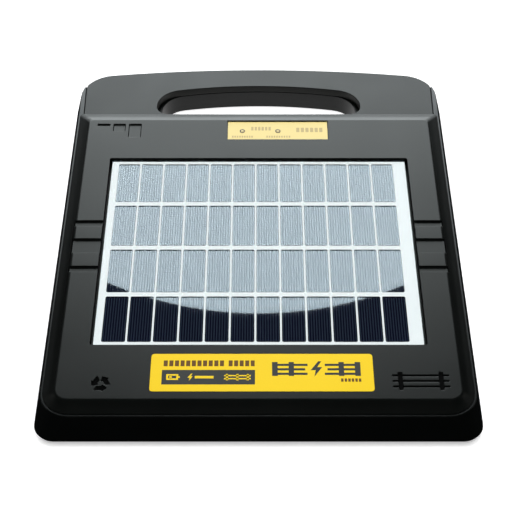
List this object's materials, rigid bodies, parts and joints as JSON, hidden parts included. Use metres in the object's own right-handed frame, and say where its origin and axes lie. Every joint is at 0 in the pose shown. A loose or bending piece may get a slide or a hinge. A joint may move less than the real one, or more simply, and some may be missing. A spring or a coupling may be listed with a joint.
{
  "type": "fence energizer",
  "caption": "Flat solar fence energizer with a carry handle moulded into its case, a solar panel in its front cover, and fence and earth terminals and a power switch in its back.",
  "frame": {"origin": "middle of the case's length and width, on the plane its rubber feet rest on", "axes": "+X to the right as the panel is read, +Y towards the carry handle, +Z out of the solar panel"},
  "size_m": [0.2872, 0.349, 0.0306],
  "materials": {
    "case_plastic": "fine satin moulding texture",
    "seal_rubber": "smooth",
    "screw_steel": "zinc plated",
    "foot_rubber": "matt",
    "insert_brass": "turned",
    "panel_glass": "clear, polished",
    "cell_silicon": "dark blue silicon with fine fingers",
    "backsheet_white": "smooth white",
    "gasket_foam": "closed-cell foam",
    "component_black": "moulded",
    "label_yellow": "printed film",
    "label_pale": "printed film",
    "guide_clear": "clear acrylic",
    "board_green": "solder resist",
    "led_lens": "diffused",
    "connector_ivory": "nylon",
    "capacitor_sleeve": "sleeve",
    "winding_copper": "enamelled copper",
    "sink_aluminium": "extruded",
    "core_ferrite": "pressed ferrite",
    "bobbin_nylon": "moulded nylon",
    "cell_sleeve": "shrink-sleeved",
    "switch_black": "moulded",
    "rocker_red": "moulded",
    "stud_steel": "stainless",
    "knob_red": "moulded",
    "knob_green": "moulded",
    "lead_red": "PVC insulation",
    "lead_green": "PVC insulation",
    "lead_black": "PVC insulation"
  },
  "bodies": {
    "housing": {"rear_shell": "case_plastic", "front_cover": "case_plastic", "housing_seal": "seal_rubber", "housing_screws": "screw_steel", "rubber_feet": "foot_rubber", "bracket_inserts": "insert_brass", "solar_glass": "panel_glass", "solar_cells": "cell_silicon", "solar_backsheet": "backsheet_white", "panel_gasket": "gasket_foam", "panel_junction_box": "component_black", "main_label": "label_yellow", "status_label": "label_pale", "light_guides": "guide_clear", "indicator_board": "board_green", "indicator_screws": "screw_steel", "status_leds": "led_lens", "circuit_board": "board_green", "board_screws": "screw_steel", "control_chips": "component_black", "board_connectors": "connector_ivory", "filter_capacitors": "capacitor_sleeve", "charge_inductor": "winding_copper", "pulse_thyristor": "component_black", "heat_sink": "sink_aluminium", "storage_capacitor": "capacitor_sleeve", "transformer_core": "core_ferrite", "transformer_bobbin": "bobbin_nylon", "transformer_winding": "winding_copper", "transformer_clips": "screw_steel", "clip_screws": "screw_steel", "battery_cells": "cell_sleeve", "battery_tabs": "screw_steel", "battery_spacers": "component_black", "battery_door": "case_plastic", "battery_door_seal": "seal_rubber", "battery_door_screws": "screw_steel", "switch_body": "switch_black", "switch_blades": "insert_brass", "fence_stud": "stud_steel", "earth_stud": "stud_steel", "terminal_bushings": "bobbin_nylon", "terminal_washers": "stud_steel", "terminal_nuts": "stud_steel", "ring_lugs": "insert_brass", "fence_wire": "lead_red", "earth_wire": "lead_green", "battery_lead": "lead_black", "panel_lead": "lead_black", "switch_lead": "lead_black", "indicator_lead": "lead_black"},
    "rocker": {"power_rocker": "rocker_red"},
    "fence_knob": {"fence_knob": "knob_red", "fence_knob_insert": "insert_brass"},
    "earth_knob": {"earth_knob": "knob_green", "earth_knob_insert": "insert_brass"}
  },
  "joints": [
    {"name": "rocker_tilt", "type": "hinge", "parent": "housing", "child": "rocker", "pos_m": [0.095, -0.135, 0.0094], "axis": [1, 0, 0], "range_deg": [0, 18]},
    {"name": "fence_knob_turn", "type": "hinge", "parent": "housing", "child": "fence_knob", "pos_m": [0.032, -0.14, 0.0109], "axis": [0, 0, -1], "range_deg": [0, 720]},
    {"name": "earth_knob_turn", "type": "hinge", "parent": "housing", "child": "earth_knob", "pos_m": [-0.032, -0.14, 0.0109], "axis": [0, 0, -1], "range_deg": [0, 720]}
  ]
}
